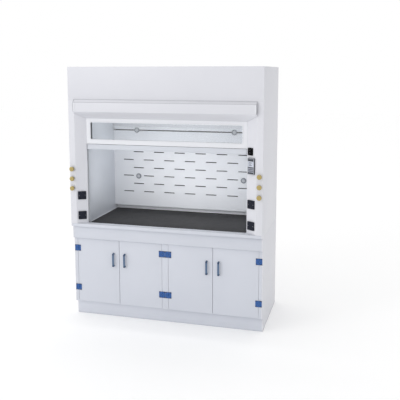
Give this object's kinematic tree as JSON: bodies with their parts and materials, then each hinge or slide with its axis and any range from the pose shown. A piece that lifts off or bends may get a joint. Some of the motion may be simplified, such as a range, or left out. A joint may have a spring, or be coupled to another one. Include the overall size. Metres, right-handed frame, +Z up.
{
  "type": "fume hood",
  "caption": "Walk-up laboratory fume hood in white polypropylene with a counterbalanced vertical sash, slotted baffle, black work surface and a base cabinet with hinged doors.",
  "frame": {"origin": "on the floor, under the middle of the body (half way between the front of the posts and the back panel)", "axes": "+Z up, +Y towards the wall behind the hood, +X to the user's right when facing the hood"},
  "size_m": [1.8, 0.88, 2.35],
  "materials": {
    "casing": "white polypropylene board, fine grain, welded and scraped seams",
    "door": "white polypropylene board, fine grain, eased edges",
    "sash": "white polypropylene, smooth",
    "liner": "pale grey polypropylene liner, satin",
    "worktop": "solid dark charcoal laboratory slab, satin",
    "button": "grey plastic with a paler centre",
    "lamp": "opal tube",
    "pane": "clear safety glass with a faint grey tint",
    "track": "anodised, satin",
    "steel": "stainless",
    "pulley": "natural nylon",
    "iron": "black painted casting",
    "socket": "near-black moulded plastic",
    "panel": "dark moulded plastic",
    "screen": "pale grey-blue display",
    "hinge": "blue moulded polypropylene",
    "valve": "gold-coloured coated knob",
    "rocker": "dark red rocker"
  },
  "bodies": {
    "hood": {"plinth": "casing", "cabinet_floor": "casing", "cabinet_sides": "casing", "cabinet_back": "casing", "cabinet_partition": "casing", "cabinet_stiles": "casing", "apron": "casing", "worktop": "worktop", "front_sill": "casing", "hood_sides": "casing", "hood_back": "casing", "hood_top": "casing", "header_panel": "casing", "header_lip": "casing", "post_left": "casing", "post_right": "casing", "chamber_sides": "liner", "chamber_back": "liner", "chamber_ceiling": "liner", "lower_baffle": "liner", "upper_baffle": "liner", "baffle_buttons": "button", "exhaust_collar": "casing", "lamp_housing": "casing", "lamp_tube": "lamp", "window_panel": "casing", "window_glass": "pane", "sash_tracks": "track", "pulley_brackets": "steel", "lift_cables": "steel", "weight_cables": "steel", "pulley_cables": "steel", "socket_outlets": "socket", "control_panel": "panel", "control_screen": "screen", "switch_plate": "socket", "valve_bodies": "steel", "hinge_frame_leaves": "hinge"},
    "sash": {"sash_frame": "sash", "sash_glass": "pane", "sash_handle": "sash"},
    "weights": {"counterweight_left": "iron", "counterweight_right": "iron"},
    "front_pulley_pair": {"front_pulleys": "pulley"},
    "rear_pulley_pair": {"rear_pulleys": "pulley"},
    "door_1": {"door_1": "door", "door_1_fittings": "hinge"},
    "door_2": {"door_2": "door", "door_2_fittings": "hinge"},
    "door_3": {"door_3": "door", "door_3_fittings": "hinge"},
    "door_4": {"door_4": "door", "door_4_fittings": "hinge"},
    "knob_1": {"valve_knob_1": "valve"},
    "knob_2": {"valve_knob_2": "valve"},
    "knob_3": {"valve_knob_3": "valve"},
    "knob_4": {"valve_knob_4": "valve"},
    "knob_5": {"valve_knob_5": "valve"},
    "knob_6": {"valve_knob_6": "valve"},
    "rocker": {"power_rocker": "rocker"}
  },
  "joints": [
    {"name": "sash_slide", "type": "slide", "parent": "hood", "child": "sash", "axis": [0, 0, 1], "range_m": [-0.675, 0], "deforming": ["lift_cables"]},
    {"name": "weights_slide", "type": "slide", "parent": "hood", "child": "weights", "axis": [0, 0, 1], "range_m": [0, 0.676], "deforming": ["weight_cables"]},
    {"name": "front_pulley_turn", "type": "hinge", "parent": "hood", "child": "front_pulley_pair", "pos_m": [0, -0.31837, 2.302], "axis": [1, 0, 0], "range_deg": [0, 1490]},
    {"name": "rear_pulley_turn", "type": "hinge", "parent": "hood", "child": "rear_pulley_pair", "pos_m": [0, -0.02537, 2.302], "axis": [1, 0, 0], "range_deg": [0, 1490]},
    {"name": "door_1_hinge", "type": "hinge", "parent": "hood", "child": "door_1", "pos_m": [-0.866, -0.373, 0.445], "axis": [0, 0, -1], "range_deg": [0, 110]},
    {"name": "door_2_hinge", "type": "hinge", "parent": "hood", "child": "door_2", "pos_m": [-0.03, -0.373, 0.445], "axis": [0, 0, 1], "range_deg": [0, 88]},
    {"name": "door_3_hinge", "type": "hinge", "parent": "hood", "child": "door_3", "pos_m": [0.03, -0.373, 0.445], "axis": [0, 0, -1], "range_deg": [0, 88]},
    {"name": "door_4_hinge", "type": "hinge", "parent": "hood", "child": "door_4", "pos_m": [0.866, -0.373, 0.445], "axis": [0, 0, 1], "range_deg": [0, 110]},
    {"name": "valve_1_turn", "type": "hinge", "parent": "hood", "child": "knob_1", "pos_m": [-0.871, -0.447, 1.418], "axis": [0, -1, 0], "range_deg": [0, 90]},
    {"name": "valve_2_turn", "type": "hinge", "parent": "hood", "child": "knob_2", "pos_m": [-0.871, -0.447, 1.328], "axis": [0, -1, 0], "range_deg": [0, 90]},
    {"name": "valve_3_turn", "type": "hinge", "parent": "hood", "child": "knob_3", "pos_m": [-0.871, -0.447, 1.238], "axis": [0, -1, 0], "range_deg": [0, 90]},
    {"name": "valve_4_turn", "type": "hinge", "parent": "hood", "child": "knob_4", "pos_m": [0.871, -0.447, 1.418], "axis": [0, -1, 0], "range_deg": [0, 90]},
    {"name": "valve_5_turn", "type": "hinge", "parent": "hood", "child": "knob_5", "pos_m": [0.871, -0.447, 1.328], "axis": [0, -1, 0], "range_deg": [0, 90]},
    {"name": "valve_6_turn", "type": "hinge", "parent": "hood", "child": "knob_6", "pos_m": [0.871, -0.447, 1.238], "axis": [0, -1, 0], "range_deg": [0, 90]},
    {"name": "power_rock", "type": "hinge", "parent": "hood", "child": "rocker", "pos_m": [0.78328, -0.39481, 1.628], "axis": [0.86, -0.5103, 0], "range_deg": [-9, 9]}
  ],
  "couplings": [
    {"joint": "weights_slide", "follows": "sash_slide", "ratio": -1},
    {"joint": "front_pulley_turn", "follows": "sash_slide", "rad_per_m": -38.462},
    {"joint": "rear_pulley_turn", "follows": "sash_slide", "rad_per_m": -38.462}
  ]
}
